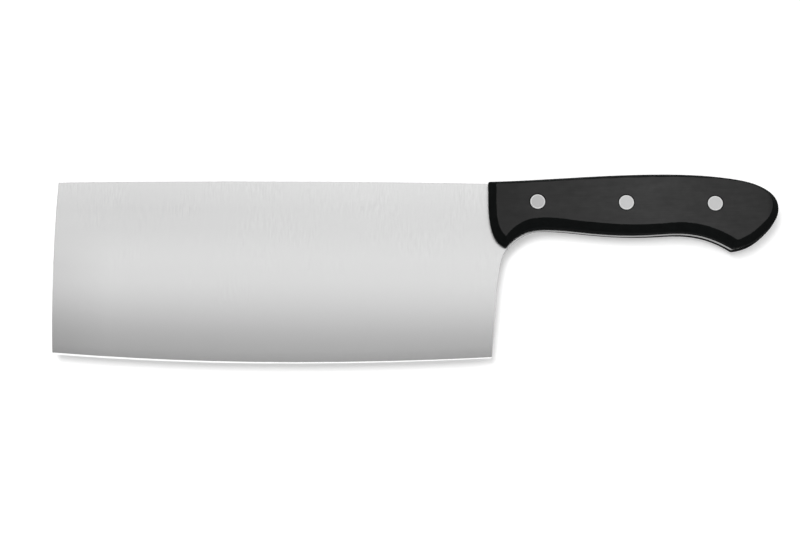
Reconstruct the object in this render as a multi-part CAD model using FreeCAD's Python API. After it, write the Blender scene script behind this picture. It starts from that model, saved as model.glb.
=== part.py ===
import FreeCAD, Part
import os
from math import sqrt

# A slicing cleaver: one sheet of steel, blade and full tang, between two handle scales held by three rivets.
# Lengths are millimetres. The drawing plane has x from the tip to the butt and y from the edge to the spine,
# with zero where the spine meets the handle, and z is zero in the middle of the sheet.
# At the end every part is moved so that the knife lies on its right side on the plane z = 0.

# Steel sheet
sheet_thickness = 2.0
eased_radius = 0.2            # rounding along the spine, the front and the heel

# Outline of the blade
spine_points = [(-178.1, 0.55), (-112.0, 1.05), (0.0, 0.0)]
front_points = [(-178.1, 0.55), (-178.95, -30.0), (-178.1, -72.6)]
heel_points = [(8.0, -27.7), (6.4, -29.75), (5.1, -33.6), (3.55, -42.0), (2.4, -55.5), (1.5, -66.0),
               (0.9, -74.8)]
blank_bottom = -80.0          # below the whole edge, where the grinding cuts the blank away

# Cutting edge: two arcs that meet at the lowest point of the belly
belly_x = -82.0
belly_y = -75.8
front_belly_radius = 1200.0
rear_belly_radius = 1530.0

# Grinding: flat sides down to the grind line, convex sides below it, and a narrow bevel at the edge
grind_line = -41.0
tip_bevel_height = 0.64
heel_bevel_height = 0.34
bevel_lean = 1 / 3            # of each side of the bevel, across the sheet for each millimetre of height
blank_margin = 12.0           # how far the ground sections run past both ends of the blade
section_count = 9

# Seam just in front of the scales, where the flat sides of the blade end and those of the tang begin
seam_points = [(9.0, -29.9), (2.7, -24.8), (0.4, -17.5), (-0.25, -8.0), (-0.35, 4.0)]
seam_end = 125.0              # behind the butt

# Handle outline, seen from its side, and the flat outer face of a scale inside its bevelled rim
handle_front = [(7.3, -27.4), (3.2, -24.35), (0.75, -17.5), (0.1, -8.0), (0.0, 0.0)]
handle_back = [(0.0, 0.0), (33.0, 1.62), (72.0, 3.13), (101.0, 1.22), (113.2, -2.35), (119.0, -7.85),
               (119.2, -14.0), (114.55, -20.7), (107.05, -26.35), (103.2, -27.65), (100.2, -28.15)]
handle_underside = [(100.2, -28.15), (95.6, -25.45), (89.5, -23.0), (78.5, -21.4), (68.0, -21.8),
                    (55.0, -21.87), (40.0, -20.75), (25.0, -19.47), (16.5, -20.42), (11.2, -23.4),
                    (7.3, -27.4)]
face_front = [(7.05, -24.7), (4.45, -21.0), (3.25, -16.1), (3.05, -8.5), (2.9, -1.9)]
face_back = [(2.9, -1.9), (33.0, -0.4), (72.0, 1.0), (99.3, -0.3), (111.8, -3.85), (116.45, -8.4),
             (116.1, -14.1), (112.5, -18.95), (106.0, -24.2), (101.6, -26.2)]
face_underside = [(101.6, -26.2), (89.5, -20.3), (80.5, -18.72), (68.0, -19.4), (56.0, -19.6),
                  (38.0, -18.1), (24.5, -16.7), (16.5, -17.45), (11.2, -20.2), (7.05, -24.7)]

# Tang outline: flush with the scales along the back, a little short of them round the butt, and a little
# proud of them behind the heel, where the fingers go
tang_back = handle_back[:5] + [(118.75, -7.9), (118.9, -13.9), (114.3, -20.5), (106.85, -26.05),
                               (102.95, -27.4), (99.95, -27.95)]
tang_underside = [(99.95, -27.95), (95.6, -25.53), (89.5, -23.07), (78.5, -21.47), (68.0, -22.0),
                  (55.0, -22.29), (40.0, -21.25), (25.0, -20.02), (17.3, -20.97), (12.2, -23.75),
                  (8.0, -27.7)]

# Corner radii of those outlines: at the front tip, at the top of the front and at the lower end of the butt
handle_radii = [0.6, 0.6, 1.5]
face_radii = [0.5, 0.5, 1.0]
tang_radii = [0.0, 0.0, 1.5]

# Thickness of a scale: an upright wall beside the tang, then a bevel up to the flat face
scale_thickness = 7.5
wall_height = 3.0
wall_rounding = 1.5           # where the wall meets the bevel
face_rounding = 0.4           # where the bevel meets the flat face

# Rivets: a post pressed into a sleeve, with a flush head on each
rivet_names = ["front", "middle", "rear"]
first_rivet = (20.1, -9.7)
rivet_pitch = 36.45
rivet_drop = 0.36             # how much lower each rivet is than the one in front of it
head_diameter = 6.3
head_depth = 2.5
head_rim_radius = 0.3
sleeve_diameter = 4.8
post_diameter = 3.0
post_reach = 11.0             # below its head
sleeve_reach = 11.0           # above its head
bore_floor = 0.5              # left solid under the sleeve's bore
press_clearance = 0.04        # between the post and the sleeve's bore, on the diameter
seat_clearance = 0.06         # round each head, on the diameter
hole_clearance = 0.1          # round each sleeve, on the diameter
hole_break = 0.25             # chamfer round each head's seat

level_tolerance = 0.01        # for telling which edges lie at a height

half_sheet = sheet_thickness / 2
handle_half = half_sheet + scale_thickness


def point(x, y, z=0.0):
    return FreeCAD.Vector(x, y, z)


def spline(points, z):
    """A smooth curve through drawing points at the height z."""
    curve = Part.BSplineCurve()
    curve.interpolate([point(x, y, z) for x, y in points])
    return curve.toShape()


def arc(points, z):
    """The arc through three drawing points at the height z."""
    return Part.Arc(*[point(x, y, z) for x, y in points]).toShape()


def lines(points, z):
    """Straight edges from each drawing point to the next, at the height z."""
    places = [point(x, y, z) for x, y in points]
    return [Part.makeLine(start, end) for start, end in zip(places, places[1:])]


def slab(edges, thickness):
    """A flat plate of the given thickness on a closed outline."""
    return Part.Face(Part.Wire(edges)).extrude(point(0, 0, thickness))


def disc(diameter, bottom, top, place):
    """An upright cylinder between two heights, centred on a drawing point."""
    return Part.makeCylinder(diameter / 2, top - bottom, point(*place, bottom))


def edge_height(x):
    """The y of the cutting edge at x."""
    radius = front_belly_radius if x < belly_x else rear_belly_radius
    return belly_y + radius - sqrt(radius**2 - (x - belly_x) ** 2)


def bevel_height(x):
    """The height of the bevel at x, which narrows evenly from the tip to the heel."""
    tip, heel = spine_points[0][0], spine_points[-1][0]
    return tip_bevel_height + (heel_bevel_height - tip_bevel_height) * (x - tip) / (heel - tip)


def ground_section(x):
    """The closed outline across the ground part of the blade at x, from the grind line to the edge."""
    edge = edge_height(x)
    bevel = bevel_height(x)
    shoulder = edge + bevel
    half_shoulder = bevel * bevel_lean
    depth = grind_line - shoulder
    drop = half_sheet - half_shoulder
    radius = (depth**2 + drop**2) / (2 * drop)
    middle = grind_line - depth / 2
    half_middle = half_sheet - radius + sqrt(radius**2 - (depth / 2) ** 2)
    sides = []
    for side in (1, -1):
        top = point(x, grind_line, side * half_sheet)
        swell = point(x, middle, side * half_middle)
        bottom = point(x, shoulder, side * half_shoulder)
        sides.append([Part.Arc(top, swell, bottom).toShape(), Part.makeLine(bottom, point(x, edge))])
    top_line = Part.makeLine(point(x, grind_line, -half_sheet), point(x, grind_line, half_sheet))
    left_side, right_side = sides
    return Part.Wire([top_line] + left_side + right_side[::-1])


def blade_blank():
    """The sheet cut to the blade's outline, with eased edges, down to below the cutting edge."""
    spine = arc(spine_points, -half_sheet)
    front = arc(front_points, -half_sheet)
    heel = spline(heel_points, -half_sheet)
    tip_end, heel_end = front_points[-1], heel_points[-1]
    bottom = lines([heel_end, (heel_end[0], blank_bottom), (tip_end[0], blank_bottom), tip_end], -half_sheet)
    under_handle = lines([spine_points[-1], heel_points[0]], -half_sheet)
    blank = slab([spine] + under_handle + [heel] + bottom + [front], sheet_thickness)
    curved = [edge for edge in blank.Edges if not isinstance(edge.Curve, Part.Line)]
    return blank.makeFillet(eased_radius, curved)


def ground_blade():
    """The blank between flat sides above the grind line and ground sides below it."""
    start = spine_points[0][0] - blank_margin
    end = heel_points[0][0] + blank_margin
    step = (end - start) / (section_count - 1)
    sections = [ground_section(start + step * number) for number in range(section_count)]
    ground = Part.makeLoft(sections, True)
    flat_height = blank_margin - grind_line
    flat = Part.makeBox(end - start, flat_height, sheet_thickness, point(start, grind_line, -half_sheet))
    return blade_blank().common(ground.fuse(flat))


def rounded_outline(curves, radii):
    """A closed outline of curves in one level plane, with an arc at the start of each that has a radius."""
    curves = list(curves)
    arcs = []
    for number, radius in enumerate(radii):
        if radius == 0:
            continue
        corner = curves[number].valueAt(curves[number].FirstParameter)
        level = Part.Plane(corner, point(0, 0, 1))
        fillet = Part.ChFi2d.FilletAlgo(curves[number - 1], curves[number], level)
        fillet.perform(radius)
        arc_edge, curves[number - 1], curves[number] = fillet.result(corner)
        arcs.append(arc_edge)
    return Part.Wire(Part.sortEdges(arcs + curves)[0])


def handle_outline(z):
    sides = [handle_front, handle_back, handle_underside]
    return rounded_outline([spline(points, z) for points in sides], handle_radii)


def face_outline(z):
    sides = [face_front, face_back, face_underside]
    return rounded_outline([spline(points, z) for points in sides], face_radii)


def tang_outline(z):
    """The tang's outline, with a straight front inside the blade."""
    front = lines([tang_underside[-1], tang_back[0]], z)
    sides = [spline(points, z) for points in (tang_back, tang_underside)]
    return rounded_outline(front + sides, tang_radii)


def rivet_places():
    x, y = first_rivet
    return [(x + rivet_pitch * number, y - rivet_drop * number) for number in range(len(rivet_names))]


def blade():
    """The ground blade in one piece with the tang, which has a hole for each rivet.

    The seam is left in the solid, so that the flat sides in front of the scales are faces of their own.
    """
    tang = slab(tang_outline(-half_sheet).Edges, sheet_thickness)
    shape = ground_blade().fuse(tang).removeSplitter()
    for place in rivet_places():
        hole = disc(sleeve_diameter + hole_clearance, -half_sheet, half_sheet, place)
        shape = shape.cut(hole)
    zone = tang_zone()
    return shape.cut(zone).fuse(shape.common(zone)).Solids[0]


def tang_zone():
    """The space behind the seam, round the whole tang."""
    lower, upper = seam_points[0], seam_points[-1]
    sides = lines([upper, (seam_end, upper[1]), (seam_end, lower[1]), lower], -half_sheet)
    return slab([spline(seam_points, -half_sheet)] + sides, sheet_thickness)


def left_scale():
    """The handle scale on the upper side, with a stepped hole for each rivet."""
    crease = half_sheet + wall_height
    rims = [handle_outline(half_sheet), handle_outline(crease), face_outline(handle_half)]
    shape = Part.makeLoft(rims, True, True)
    shape = shape.makeFillet(wall_rounding, level_edges(shape, crease))
    shape = shape.makeFillet(face_rounding, level_edges(shape, handle_half))
    seat_diameter = head_diameter + seat_clearance
    for place in rivet_places():
        shape = shape.cut(disc(sleeve_diameter + hole_clearance, half_sheet, handle_half, place))
        shape = shape.cut(disc(seat_diameter, handle_half - head_depth, handle_half, place))
        seat_radius = seat_diameter / 2
        foot = point(*place, handle_half - hole_break)
        shape = shape.cut(Part.makeCone(seat_radius, seat_radius + hole_break, hole_break, foot))
    return shape.Solids[0]


def level_edges(shape, z):
    """The edges of a shape that lie at the height z."""
    def off_level(edge):
        return max(abs(edge.BoundBox.ZMin - z), abs(edge.BoundBox.ZMax - z))
    return [edge for edge in shape.Edges if off_level(edge) < level_tolerance]


def mirrored(shape):
    """The same shape on the other side of the sheet."""
    return shape.mirror(point(0, 0, 0), point(0, 0, 1))


def rivet_head(place):
    """A head flush with the upper face, with a rounded rim."""
    head = disc(head_diameter, handle_half - head_depth, handle_half, place)
    return head.makeFillet(head_rim_radius, level_edges(head, handle_half))


def rivet_post(place):
    """The solid half of a rivet, put in from the upper side."""
    under_head = handle_half - head_depth
    shank = disc(post_diameter, under_head - post_reach, under_head, place)
    return rivet_head(place).fuse(shank).removeSplitter()


def rivet_sleeve(place):
    """The hollow half of a rivet, put in from the lower side."""
    under_head = handle_half - head_depth
    tube = disc(sleeve_diameter, under_head - sleeve_reach, under_head, place)
    # The bore opens at the tube's free end and stops short of the head.
    bore = disc(post_diameter + press_clearance, under_head - sleeve_reach, under_head - bore_floor, place)
    return mirrored(rivet_head(place).fuse(tube).removeSplitter().cut(bore))


def all_parts():
    """Every part by name, in the drawing's place."""
    scale = left_scale()
    parts = {"blade": blade(), "left_scale": scale, "right_scale": mirrored(scale)}
    for name, place in zip(rivet_names, rivet_places()):
        parts[name + "_rivet_post"] = rivet_post(place)
        parts[name + "_rivet_sleeve"] = rivet_sleeve(place)
    return parts


def export(parts):
    """Each part moved so that the whole knife's box stands centred on the origin, and written to its file."""
    os.makedirs("parts", exist_ok=True)
    box = Part.makeCompound(list(parts.values())).optimalBoundingBox(False, False)
    move = point(-box.Center.x, -box.Center.y, -box.ZMin)
    for name, shape in parts.items():
        shape.translate(move)
        shape.exportStep("parts/" + name + ".step")
        solids = len(shape.Solids)
        print(name, "solids", solids, "valid", shape.isValid(), "volume", round(shape.Volume, 1))
    print("size", round(box.XLength, 2), round(box.YLength, 2), round(box.ZLength, 2))
    print("moved by", [round(value, 3) for value in move])


export(all_parts())
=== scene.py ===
from math import cos, pi, radians, sin

import bpy
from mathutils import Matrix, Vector


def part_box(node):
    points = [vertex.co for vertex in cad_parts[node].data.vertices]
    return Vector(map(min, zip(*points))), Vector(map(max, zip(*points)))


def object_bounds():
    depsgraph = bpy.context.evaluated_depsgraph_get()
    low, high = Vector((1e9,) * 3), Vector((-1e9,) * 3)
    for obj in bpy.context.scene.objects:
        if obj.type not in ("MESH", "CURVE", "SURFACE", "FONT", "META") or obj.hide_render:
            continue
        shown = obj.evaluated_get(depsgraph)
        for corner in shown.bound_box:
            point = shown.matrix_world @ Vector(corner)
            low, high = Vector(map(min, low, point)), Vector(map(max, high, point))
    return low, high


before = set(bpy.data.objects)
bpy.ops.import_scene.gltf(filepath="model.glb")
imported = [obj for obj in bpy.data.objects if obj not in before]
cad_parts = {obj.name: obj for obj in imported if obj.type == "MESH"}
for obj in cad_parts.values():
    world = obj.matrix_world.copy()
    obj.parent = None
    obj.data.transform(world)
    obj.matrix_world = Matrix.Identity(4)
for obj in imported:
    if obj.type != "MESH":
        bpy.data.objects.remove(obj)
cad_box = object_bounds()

# A slicing cleaver that lies on its right side on a white table in a soft studio light.
# Lengths are metres in the part's own frame: x from tip to butt, y from cutting edge to spine, z up.

MM = 0.001

# Corners that the frame gives
KNIFE_LOW, KNIFE_HIGH = cad_box
BLADE_LOW, BLADE_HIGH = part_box("blade")
SCALE_LOW, SCALE_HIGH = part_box("left_scale")

# Camera: tilted off straight down, towards the cutting edge
CAMERA_TILT = radians(14)
CAMERA_DISTANCE = 0.953
CAMERA_AIM = Vector((-6.767, 1.225, 0)) * MM       # from the middle of the knife's box
CAMERA_LENS = 104.25                  # mm, on a sensor 36 mm wide
CAMERA_CLIP = 0.01                    # short enough for a close look

# Table
TABLE_SIZE = 8.0
TABLE_DROP = 0.05 * MM                # below the lowest face of the knife, so that the two don't coincide
TABLE_COLOUR = (0.8, 0.8, 0.8)
TABLE_GLOW = 0.345                    # added for what is seen directly or in a reflection

# Room: near the horizon it is white where it is seen and dim as a light, and overhead the same grey for both
ROOM_SEEN = 1.0
ROOM_LIGHT = 0.25
ROOM_OVERHEAD = 0.53
ROOM_BLEND = (0.4, 0.9)               # upward part of a ray where the horizon turns into overhead

# Lamps: level softboxes above the knife. Two show in the steel, with a gap between them, and the key lamp,
# which casts the shadow, doesn't. Their light is how bright their faces are.
LAMPS = {
    "back_softbox": dict(x=(-0.75, 0.85), y=(0.141, 0.55), z=1.0, turn=radians(-4), light=1.0, shows=True),
    "front_softbox": dict(x=(-0.7, 0.7), y=(-0.65, -0.25), z=1.0, turn=0.0, light=1.0, shows=True),
    "key_lamp": dict(x=(-1.05, -0.1), y=(-0.33, 0.75), z=3.0, turn=0.0, light=15.5, shows=False),
}

# Sides of the blade: flat from the spine to the grind line, then ground to a curve that comes in towards
# the edge. Heights are above the lowest point of the edge.
SPINE_HEIGHT = 75.5 * MM
GRIND_HEIGHT = 34.8 * MM
BEVEL_HEIGHT = 0.5 * MM               # of the honed bevel, below the ground sides
GROUND_DEPTH = GRIND_HEIGHT - BEVEL_HEIGHT
GROUND_DROP = 0.84 * MM               # by which each side comes in over that depth
BELLY_PLACE = 97 * MM                 # of the lowest point of the edge, behind the tip
BELLY_RADIUS = 1365 * MM              # of the edge's curve, the mean of its front and its rear

# A band of painted shade runs along the flat sides, darkening the steel
SHADE_BAND_HEIGHT = 60.5 * MM
SHADE_BAND_REACH = (4 * MM, 17 * MM)        # from the middle of the band to where it starts and stops fading
SHADE_BAND_LOSS = 0.055                     # of brightness

# Painted shade also darkens the steel just above the bevel, over this share of the ground sides' depth
EDGE_SHADE_SHARE = (0.87, 1.0)
EDGE_SHADE_LOSS = 0.1

# Zones of painted shade: the loss, where it is whole and where it ends, as places behind the tip and as
# heights
SHADED_ZONES = {
    "tip": (0.11, (0.3 * MM, 23.3 * MM), (41.5 * MM, 59.5 * MM)),
    "spine": (0.05, (34.3 * MM, 129.3 * MM), (65.5 * MM, 47.5 * MM)),
}

# Noise: sizes of grains are along x, y and z, and pairs of values are spread over most of a noise's range
NOISE_RANGE = (0.3, 0.7)

# Ground steel: fine marks from spine to edge, and wider streaks that show in patches
GROUND_COLOUR = (0.53, 0.53, 0.53)
MARK_SIZE = (0.09 * MM, 7 * MM, 2 * MM)
MARK_BRIGHTNESS = (-0.026, 0.026)     # added to 1, as the streaks' is
STREAK_SIZE = (0.5 * MM, 4 * MM, 2 * MM)
STREAK_BRIGHTNESS = (-0.03, 0.03)
PATCH_SIZE = (16 * MM, 10 * MM, 16 * MM)
PATCH_RANGE = (0.42, 0.66)            # of the noise, from outside a patch to its middle
PATCH_STRENGTH = (0.15, 1.3)          # of the streaks, from outside a patch to its middle
GRAIN_STRENGTH = (0.35, 1.0)          # of marks and streaks, at the grind line and at the spine
GROUND_ROUGHNESS = (0.25, 0.27)
GROUND_STRETCH = 0.5                  # of reflections, across the marks
GROUND_RELIEF = (0.04, 0.01 * MM)     # strength and depth

# Honed steel of the bevel, with marks along the edge
HONED_COLOUR = (0.85, 0.85, 0.85)
HONED_SIZE = (4 * MM, 0.05 * MM, 0.05 * MM)
HONED_BRIGHTNESS = (0.95, 1.05)
HONED_ROUGHNESS = (0.2, 0.28)

# Cut steel of the sheet's narrow sides, with marks along them
CUT_COLOUR = (0.28, 0.28, 0.28)
CUT_SIZE = (5 * MM, 5 * MM, 0.1 * MM)
CUT_BRIGHTNESS = (0.9, 1.1)
CUT_ROUGHNESS = (0.36, 0.46)
CUT_RELIEF = (0.1, 0.02 * MM)

# Sanded plastic of the scales' flat faces: sanding along the handle, small smudges and a wider mottle
SANDED_COLOUR = (0.0332, 0.0332, 0.0332)
SANDING_SIZE = (9 * MM, 0.15 * MM, 0.15 * MM)
SANDING_BRIGHTNESS = (0.89, 1.11)
SMUDGE_SIZE = (4 * MM, 2.2 * MM, 2.2 * MM)
SMUDGE_BRIGHTNESS = (0.91, 1.09)
MOTTLE_SIZE = (14 * MM, 6 * MM, 6 * MM)
MOTTLE_BRIGHTNESS = (0.92, 1.08)
SANDED_ROUGHNESS = (0.46, 0.56)
SANDED_GLOSS = 0.15
SANDED_RELIEF = (0.1, 0.01 * MM)

# Painted sheen makes the flat faces paler in the middle of the grip, and less and less towards both ends
SHEEN_PLACE = 67.3 * MM              # behind the front of the scales
SHEEN_REACH = 61 * MM
SHEEN_BRIGHTNESS = (1.0, 0.52)       # in the middle of the grip and at the end of that reach
BUTT_SHADE_FADE = (5.3 * MM, 3.1 * MM)      # before the end of the butt, where painted shade on the faces starts and stops darkening them
BUTT_SHADE_BRIGHTNESS = (1.0, 0.6)

# Smooth plastic of the scales' walls and bevels, whose deeper colour is painted shade
SMOOTH_SHADED_COLOUR = (0.0058, 0.0065, 0.0065)
SMOOTH_SIZE = (3 * MM, 3 * MM, 3 * MM)
SMOOTH_BRIGHTNESS = (0.85, 1.15)
SMOOTH_ROUGHNESS = (0.6, 0.7)
SMOOTH_GLOSS = 0.006
SMOOTH_RELIEF = (0.05, 0.02 * MM)

# Rivets: ground heads of slightly different tones, with a painted highlight round the rim
RIVET_COLOUR = (0.467, 0.467, 0.467)
RIVET_TONES = {"front": 0.88, "middle": 1.03, "rear": 1.0}
RIVET_SIZE = (0.8 * MM, 0.06 * MM, 1 * MM)
RIVET_BRIGHTNESS = (0.95, 1.05)
RIVET_ROUGHNESS = (0.3, 0.38)
RIVET_RELIEF = (0.05, 0.01 * MM)
HIGHLIGHT_RIM_INSET = (0.6 * MM, 0.4 * MM)      # from the edge of a head to where the painted highlight starts and is brightest
RIM_HIGHLIGHT_BRIGHTNESS = 1.35

# Kinds of faces, told apart by how upright their normals are
SIDE_NORMAL = 0.99                    # the sides of the blade are at least this upright
BEVEL_NORMAL = 0.9                    # the honed bevel is at least this upright, and less than the sides
NARROW_NORMAL = 0.5                   # the narrow sides of the sheet are at most this upright
FACE_NORMAL = 0.98                    # the flat faces of the scales are at least this upright
FACE_DEPTH = 0.05 * MM                # and at most this far inside the knife's box


def feed(tree, socket, value):
    """Sets a socket to a plain number, or links it to the output of another node."""
    if isinstance(value, (int, float)):
        socket.default_value = value
    else:
        tree.links.new(value, socket)


def maths(tree, operation, *values):
    """Values joined by an arithmetic operation."""
    node = tree.nodes.new("ShaderNodeMath")
    node.operation = operation
    for socket, value in zip(node.inputs, values):
        feed(tree, socket, value)
    return node.outputs["Value"]


def product(tree, first, *others):
    """Values multiplied together."""
    for value in others:
        first = maths(tree, "MULTIPLY", first, value)
    return first


def between(tree, value, ends, span=NOISE_RANGE):
    """The value's span mapped to the range between two ends, and held at those ends outside the span."""
    node = tree.nodes.new("ShaderNodeMapRange")
    names = ("Value", "From Min", "From Max", "To Min", "To Max")
    for name, number in zip(names, (value, *span, *ends)):
        feed(tree, node.inputs[name], number)
    return node.outputs["Result"]


def coordinate(tree, axis):
    """How far a point is along one of the axes X, Y and Z."""
    place = tree.nodes.new("ShaderNodeTexCoord")
    parts = tree.nodes.new("ShaderNodeSeparateXYZ")
    tree.links.new(place.outputs["Object"], parts.inputs["Vector"])
    return parts.outputs[axis]


def behind_tip(tree):
    """How far a point is behind the tip of the blade."""
    return maths(tree, "SUBTRACT", coordinate(tree, "X"), BLADE_LOW.x)


def above_edge(tree):
    """How far a point is above the lowest point of the cutting edge."""
    return maths(tree, "SUBTRACT", coordinate(tree, "Y"), BLADE_LOW.y)


def from_axis(tree, middle):
    """How far a point is from the upright axis through another point."""
    x = maths(tree, "SUBTRACT", coordinate(tree, "X"), middle.x)
    y = maths(tree, "SUBTRACT", coordinate(tree, "Y"), middle.y)
    return maths(tree, "SQRT", maths(tree, "ADD", product(tree, x, x), product(tree, y, y)))


def noise(tree, size, detail):
    """Noise whose grains measure the given lengths along x, y and z."""
    place = tree.nodes.new("ShaderNodeTexCoord")
    mapping = tree.nodes.new("ShaderNodeMapping")
    mapping.inputs["Scale"].default_value = [1 / length for length in size]
    texture = tree.nodes.new("ShaderNodeTexNoise")
    texture.inputs["Scale"].default_value = 1.0
    texture.inputs["Detail"].default_value = detail
    tree.links.new(place.outputs["Object"], mapping.inputs["Vector"])
    tree.links.new(mapping.outputs["Vector"], texture.inputs["Vector"])
    return texture.outputs["Fac"]


def shader_material(name):
    """A new material, its node tree and the shader of its surface."""
    material = bpy.data.materials.new(name)
    material.use_nodes = True
    tree = material.node_tree
    return material, tree, tree.nodes["Principled BSDF"]


def coloured(tree, shader, colour, brightness, roughness):
    """Gives the shader a colour of varying brightness, and a varying roughness."""
    tint = tree.nodes.new("ShaderNodeVectorMath")
    tint.operation = "SCALE"
    tint.inputs[0].default_value = colour
    tree.links.new(brightness, tint.inputs["Scale"])
    tree.links.new(tint.outputs["Vector"], shader.inputs["Base Color"])
    tree.links.new(roughness, shader.inputs["Roughness"])


def bumped(tree, shader, height, relief, normal=None):
    """Gives the shader a fine relief from a varying height, over the given normal or else the mesh's own."""
    node = tree.nodes.new("ShaderNodeBump")
    node.inputs["Strength"].default_value, node.inputs["Distance"].default_value = relief
    tree.links.new(height, node.inputs["Height"])
    if normal:
        tree.links.new(normal, node.inputs["Normal"])
    tree.links.new(node.outputs["Normal"], shader.inputs["Normal"])


def ground_place(tree):
    """How far a point is below the grind line, and how deep the ground sides are there."""
    along = maths(tree, "SUBTRACT", behind_tip(tree), BELLY_PLACE)
    rise = maths(tree, "DIVIDE", product(tree, along, along), 2 * BELLY_RADIUS)
    depth = maths(tree, "SUBTRACT", GROUND_DEPTH, rise)
    below = maths(tree, "MAXIMUM", maths(tree, "SUBTRACT", GRIND_HEIGHT, above_edge(tree)), 0.0)
    return below, depth


def painted_shade(tree):
    """One on most of the blade, and less where shade is painted: in its shaded band, just above the bevel
    and in its shaded zones.
    """
    away = maths(tree, "ABSOLUTE", maths(tree, "SUBTRACT", above_edge(tree), SHADE_BAND_HEIGHT))
    share = maths(tree, "DIVIDE", *ground_place(tree))
    shade_band = between(tree, away, (SHADE_BAND_LOSS, 0.0), SHADE_BAND_REACH)
    shade_losses = [shade_band, between(tree, share, (0.0, EDGE_SHADE_LOSS), EDGE_SHADE_SHARE)]
    for most, places, heights in SHADED_ZONES.values():
        along = between(tree, behind_tip(tree), (most, 0.0), places)
        shade_losses.append(product(tree, along, between(tree, above_edge(tree), (1.0, 0.0), heights)))
    left = 1.0
    for loss in shade_losses:
        left = maths(tree, "SUBTRACT", left, loss)
    return left


def side_normal(tree):
    """The normal of the blade's sides: upright on the flats, and leaning more and more below the grind line.

    It follows the curve that the sides are ground to, which the large triangles of the mesh only come near.
    """
    below, depth = ground_place(tree)
    lean = maths(tree, "DIVIDE", product(tree, below, 2 * GROUND_DROP), product(tree, depth, depth))
    upper = maths(tree, "GREATER_THAN", coordinate(tree, "Z"), (BLADE_LOW.z + BLADE_HIGH.z) / 2)
    # The map's colours stand for directions: a half is zero, and zero and one are the two ways along an axis
    colour = tree.nodes.new("ShaderNodeCombineXYZ")
    colour.inputs["X"].default_value = 0.5
    tree.links.new(maths(tree, "SUBTRACT", 0.5, product(tree, lean, 0.5)), colour.inputs["Y"])
    tree.links.new(upper, colour.inputs["Z"])
    node = tree.nodes.new("ShaderNodeNormalMap")
    node.space = "OBJECT"
    tree.links.new(colour.outputs["Vector"], node.inputs["Color"])
    return node.outputs["Normal"]


def ground_brightness(tree, marks):
    """The brightness of ground steel near 1, from its marks, its streaks and its painted shade."""
    streaks = between(tree, noise(tree, STREAK_SIZE, detail=1), STREAK_BRIGHTNESS)
    patches = between(tree, noise(tree, PATCH_SIZE, detail=2), PATCH_STRENGTH, PATCH_RANGE)
    grain = maths(tree, "ADD", between(tree, marks, MARK_BRIGHTNESS), product(tree, streaks, patches))
    strength = between(tree, above_edge(tree), GRAIN_STRENGTH, (GRIND_HEIGHT, SPINE_HEIGHT))
    return product(tree, maths(tree, "ADD", 1.0, product(tree, grain, strength)), painted_shade(tree))


def ground_steel(name, normal_of=None):
    """Steel with marks of grinding. normal_of, if given, makes the normal that takes the mesh's place."""
    material, tree, shader = shader_material(name)
    marks = noise(tree, MARK_SIZE, detail=3)
    brightness = ground_brightness(tree, marks)
    coloured(tree, shader, GROUND_COLOUR, brightness, between(tree, marks, GROUND_ROUGHNESS))
    shader.inputs["Metallic"].default_value = 1.0
    shader.inputs["Anisotropic"].default_value = GROUND_STRETCH
    along = tree.nodes.new("ShaderNodeCombineXYZ")
    along.inputs["X"].default_value = 1.0
    tree.links.new(along.outputs["Vector"], shader.inputs["Tangent"])
    bumped(tree, shader, marks, GROUND_RELIEF, normal_of(tree) if normal_of else None)
    return material


def honed_steel():
    """The bright narrow bevel of the cutting edge."""
    material, tree, shader = shader_material("honed_steel")
    marks = noise(tree, HONED_SIZE, detail=2)
    brightness = between(tree, marks, HONED_BRIGHTNESS)
    coloured(tree, shader, HONED_COLOUR, brightness, between(tree, marks, HONED_ROUGHNESS))
    shader.inputs["Metallic"].default_value = 1.0
    return material


def cut_steel():
    """The duller narrow sides of the sheet, along the spine, the heel and the tang."""
    material, tree, shader = shader_material("cut_steel")
    marks = noise(tree, CUT_SIZE, detail=3)
    brightness = between(tree, marks, CUT_BRIGHTNESS)
    coloured(tree, shader, CUT_COLOUR, brightness, between(tree, marks, CUT_ROUGHNESS))
    shader.inputs["Metallic"].default_value = 1.0
    bumped(tree, shader, marks, CUT_RELIEF)
    return material


def painted_sheen(tree):
    """Painted sheen and shade: one in the middle of the grip, less towards the handle's ends, and least at
    the end of the butt.
    """
    x = coordinate(tree, "X")
    away = maths(tree, "ABSOLUTE", maths(tree, "SUBTRACT", x, SCALE_LOW.x + SHEEN_PLACE))
    to_end = maths(tree, "SUBTRACT", SCALE_HIGH.x, x)
    return product(tree, between(tree, away, SHEEN_BRIGHTNESS, (0.0, SHEEN_REACH)),
                   between(tree, to_end, BUTT_SHADE_BRIGHTNESS, BUTT_SHADE_FADE))


def sanded_plastic():
    """Black plastic on the flat faces of the scales, with faint sanding, some smudges and a painted sheen in
    the middle of the grip.
    """
    material, tree, shader = shader_material("sanded_plastic")
    sanding = noise(tree, SANDING_SIZE, detail=3)
    smudges = between(tree, noise(tree, SMUDGE_SIZE, detail=2), SMUDGE_BRIGHTNESS)
    mottle = between(tree, noise(tree, MOTTLE_SIZE, detail=2), MOTTLE_BRIGHTNESS)
    brightness = product(tree, between(tree, sanding, SANDING_BRIGHTNESS), smudges, mottle, painted_sheen(tree))
    coloured(tree, shader, SANDED_COLOUR, brightness, between(tree, sanding, SANDED_ROUGHNESS))
    shader.inputs["Specular IOR Level"].default_value = SANDED_GLOSS
    bumped(tree, shader, sanding, SANDED_RELIEF)
    return material


def smooth_plastic():
    """The same black plastic on the walls and bevels, smooth, and deeper in colour as painted shade."""
    material, tree, shader = shader_material("smooth_plastic")
    mottle = noise(tree, SMOOTH_SIZE, detail=3)
    brightness = between(tree, mottle, SMOOTH_BRIGHTNESS)
    coloured(tree, shader, SMOOTH_SHADED_COLOUR, brightness, between(tree, mottle, SMOOTH_ROUGHNESS))
    shader.inputs["Specular IOR Level"].default_value = SMOOTH_GLOSS
    bumped(tree, shader, mottle, SMOOTH_RELIEF)
    return material


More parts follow.
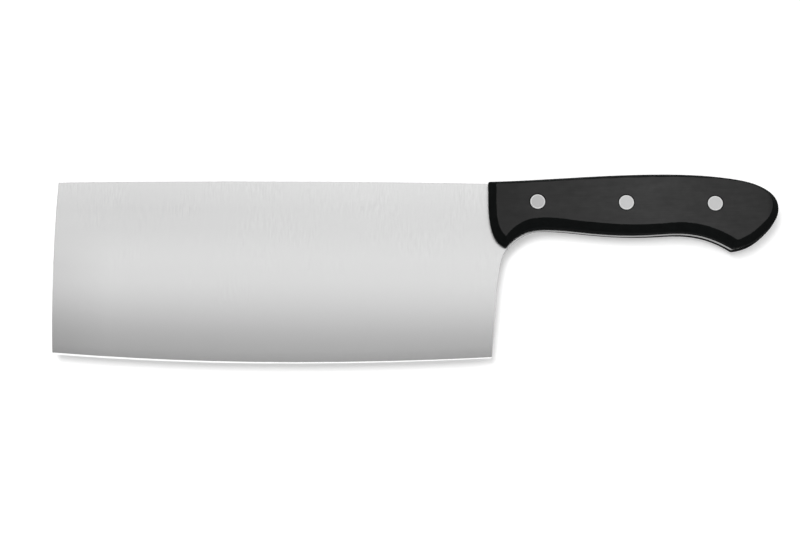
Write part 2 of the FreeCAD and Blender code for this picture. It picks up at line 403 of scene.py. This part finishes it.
def rivet_metal(name, tone):
    """Light metal ground flush with the handle, with a painted highlight round the rim of the head."""
    material, tree, shader = shader_material(name)
    low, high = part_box(name)
    radius = (high.x - low.x) / 2
    rim_highlight_span = [radius - inset for inset in HIGHLIGHT_RIM_INSET]
    rim_highlight = between(tree, from_axis(tree, (low + high) / 2), (tone, RIM_HIGHLIGHT_BRIGHTNESS), rim_highlight_span)
    marks = noise(tree, RIVET_SIZE, detail=3)
    brightness = product(tree, between(tree, marks, RIVET_BRIGHTNESS), rim_highlight)
    coloured(tree, shader, RIVET_COLOUR, brightness, between(tree, marks, RIVET_ROUGHNESS))
    shader.inputs["Metallic"].default_value = 1.0
    bumped(tree, shader, marks, RIVET_RELIEF)
    return material


def dress(obj, materials, choose):
    """Gives the object these materials, and each of its faces the one that choose(face) numbers."""
    obj.data.materials.clear()
    for material in materials:
        obj.data.materials.append(material)
    for face in obj.data.polygons:
        face.material_index = choose(face)


def dress_blade(obj):
    """Ground steel on the sides and the eased edges, honed on the bevel, and cut on the narrow sides."""
    side, honed, cut, eased = range(4)
    side_steel = ground_steel("side_steel", side_normal)
    materials = [side_steel, honed_steel(), cut_steel(), ground_steel("eased_steel")]
    middle = (BLADE_LOW.y + BLADE_HIGH.y) / 2

    def choose(face):
        upright = abs(face.normal.z)
        if upright > SIDE_NORMAL:
            return side
        if upright < NARROW_NORMAL:
            return cut
        return honed if upright > BEVEL_NORMAL and face.center.y < middle else eased
    dress(obj, materials, choose)


def dress_scales(scales):
    """Sanded plastic on the flat outer faces, and smooth plastic on the rest."""
    sanded, smooth = range(2)
    materials = [sanded_plastic(), smooth_plastic()]

    def choose(face):
        depth = min(face.center.z - KNIFE_LOW.z, KNIFE_HIGH.z - face.center.z)
        return sanded if depth < FACE_DEPTH and abs(face.normal.z) > FACE_NORMAL else smooth
    for obj in scales:
        dress(obj, materials, choose)


def dress_rivets(rivets):
    """Each half of a rivet in the tone of that rivet."""
    for obj in rivets:
        tone = RIVET_TONES[obj.name.split("_")[0]]
        dress(obj, [rivet_metal(obj.name, tone)], lambda face: 0)


def dress_knife(nodes):
    """Materials for every piece of the knife."""
    dress_blade(nodes["blade"])
    dress_scales([obj for name, obj in nodes.items() if name.endswith("_scale")])
    dress_rivets([obj for name, obj in nodes.items() if "_rivet_" in name])


def seen_rays(tree):
    """One for what the camera sees, directly, in a reflection or through glass, and zero for light.

    A reflection that only lights a matt surface counts as light.
    """
    path = tree.nodes.new("ShaderNodeLightPath")
    seen = maths(tree, "MAXIMUM", path.outputs["Is Camera Ray"], path.outputs["Is Glossy Ray"])
    seen = maths(tree, "MAXIMUM", seen, path.outputs["Is Transmission Ray"])
    return product(tree, seen, maths(tree, "LESS_THAN", path.outputs["Diffuse Depth"], 1.0))


def table_material():
    """Plain white, with a glow where it is seen, so that it stays white round the shadow."""
    material, tree, shader = shader_material("table")
    shader.inputs["Base Color"].default_value = (*TABLE_COLOUR, 1)
    shader.inputs["Roughness"].default_value = 1.0
    shader.inputs["Specular IOR Level"].default_value = 0.0
    shader.inputs["Emission Color"].default_value = (1, 1, 1, 1)
    tree.links.new(product(tree, seen_rays(tree), TABLE_GLOW), shader.inputs["Emission Strength"])
    return material


def add_table():
    """A wide level table just under the knife."""
    bpy.ops.mesh.primitive_plane_add(size=TABLE_SIZE, location=(0, 0, KNIFE_LOW.z - TABLE_DROP))
    table = bpy.context.object
    table.name = "table"
    table.data.materials.append(table_material())


def add_room():
    """A plain white surrounding, whose brightness changes from the horizon to overhead."""
    world = bpy.data.worlds.new("room")
    world.use_nodes = True
    bpy.context.scene.world = world
    tree = world.node_tree
    ray = tree.nodes.new("ShaderNodeTexCoord")
    parts = tree.nodes.new("ShaderNodeSeparateXYZ")
    tree.links.new(ray.outputs["Generated"], parts.inputs["Vector"])
    horizon = between(tree, seen_rays(tree), (ROOM_LIGHT, ROOM_SEEN), (0.0, 1.0))
    background = tree.nodes["Background"]
    background.inputs["Color"].default_value = (1, 1, 1, 1)
    strength = between(tree, parts.outputs["Z"], (horizon, ROOM_OVERHEAD), ROOM_BLEND)
    tree.links.new(strength, background.inputs["Strength"])


def add_lamp(name, x, y, z, turn, light, shows):
    """A level rectangular lamp over a span of x and of y, turned about its middle."""
    lamp = bpy.data.lights.new(name, "AREA")
    lamp.shape = "RECTANGLE"
    lamp.size = x[1] - x[0]
    lamp.size_y = y[1] - y[0]
    lamp.energy = pi * lamp.size * lamp.size_y * light
    box = bpy.data.objects.new(name, lamp)
    box.location = (sum(x) / 2, sum(y) / 2, z)
    box.rotation_euler = (0, 0, turn)
    box.visible_glossy = shows
    bpy.context.scene.collection.objects.link(box)


def add_camera():
    """A camera above the knife that looks down at it, from the side of the cutting edge."""
    data = bpy.data.cameras.new("camera")
    data.lens = CAMERA_LENS
    data.clip_start = CAMERA_CLIP
    camera = bpy.data.objects.new("camera", data)
    target = (KNIFE_LOW + KNIFE_HIGH) / 2 + CAMERA_AIM
    camera.location = target + CAMERA_DISTANCE * Vector((0, -sin(CAMERA_TILT), cos(CAMERA_TILT)))
    camera.rotation_euler = (CAMERA_TILT, 0, 0)
    bpy.context.scene.collection.objects.link(camera)
    bpy.context.scene.camera = camera


dress_knife(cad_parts)
add_table()
add_room()
for lamp_name, lamp_settings in LAMPS.items():
    add_lamp(lamp_name, **lamp_settings)
add_camera()
bpy.context.scene.view_settings.view_transform = "Standard"
